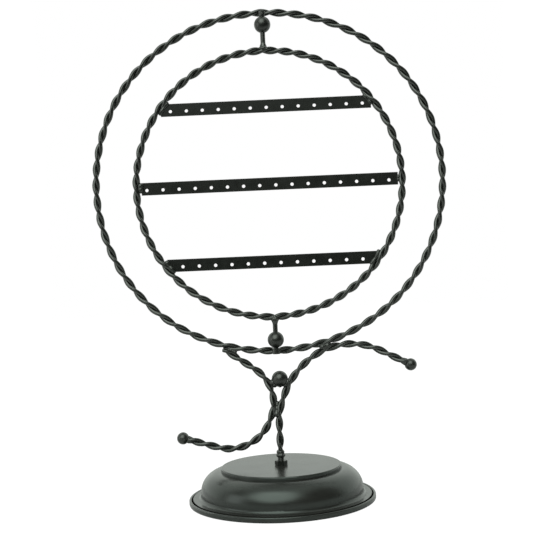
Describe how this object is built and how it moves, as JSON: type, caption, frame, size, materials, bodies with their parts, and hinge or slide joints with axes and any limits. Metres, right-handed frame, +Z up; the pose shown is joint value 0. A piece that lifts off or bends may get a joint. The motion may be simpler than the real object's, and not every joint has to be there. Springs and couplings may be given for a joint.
{
  "type": "swivelling earring display rack",
  "caption": "Free-standing earring rack: a twisted-wire hoop on a forked stem and a round weighted base, with an inner hoop of drilled bars that swivels on a vertical axis.",
  "frame": {"origin": "the middle of the felt pad's underside, on the table", "axes": "+Z up along the stem, +X to the right along the bars seen from the front, front face towards -Y"},
  "size_m": [0.2668, 0.1406, 0.3704],
  "materials": {
    "wire_paint": "satin black paint on twisted steel wire",
    "bar_paint": "satin black paint on flat steel strip",
    "ball_paint": "satin black paint on steel balls",
    "fitting_paint": "satin black paint on turned and threaded steel",
    "base_paint": "satin black paint on spun sheet steel",
    "ballast_iron": "raw casting",
    "felt": "black felt",
    "plated_steel": "zinc-plated steel"
  },
  "bodies": {
    "stand": {"outer_hoop_wire_a": "wire_paint", "outer_hoop_wire_b": "wire_paint", "stem_wire_a": "wire_paint", "stem_wire_b": "wire_paint", "branch_wire_a": "wire_paint", "branch_wire_b": "wire_paint", "left_finial_ball": "ball_paint", "right_finial_ball": "ball_paint", "crotch_ball": "ball_paint", "base_shell": "base_paint", "base_ballast": "ballast_iron", "base_felt_pad": "felt", "stem_stud": "fitting_paint", "stem_ferrule": "fitting_paint", "upper_nut": "fitting_paint", "lower_washer": "plated_steel", "lower_nut": "plated_steel", "top_pivot_sleeve": "fitting_paint", "bottom_pivot_sleeve": "fitting_paint"},
    "swivel_frame": {"inner_hoop_wire_a": "wire_paint", "inner_hoop_wire_b": "wire_paint", "upper_bar": "bar_paint", "middle_bar": "bar_paint", "lower_bar": "bar_paint", "top_pivot_pin": "fitting_paint", "bottom_pivot_pin": "fitting_paint", "top_pivot_ball": "ball_paint", "bottom_pivot_ball": "ball_paint"}
  },
  "joints": [
    {"name": "hoop_swivel", "type": "hinge", "parent": "stand", "child": "swivel_frame", "pos_m": [0, -0.00628, 0.2385], "axis": [0, 0, 1], "continuous": true}
  ]
}
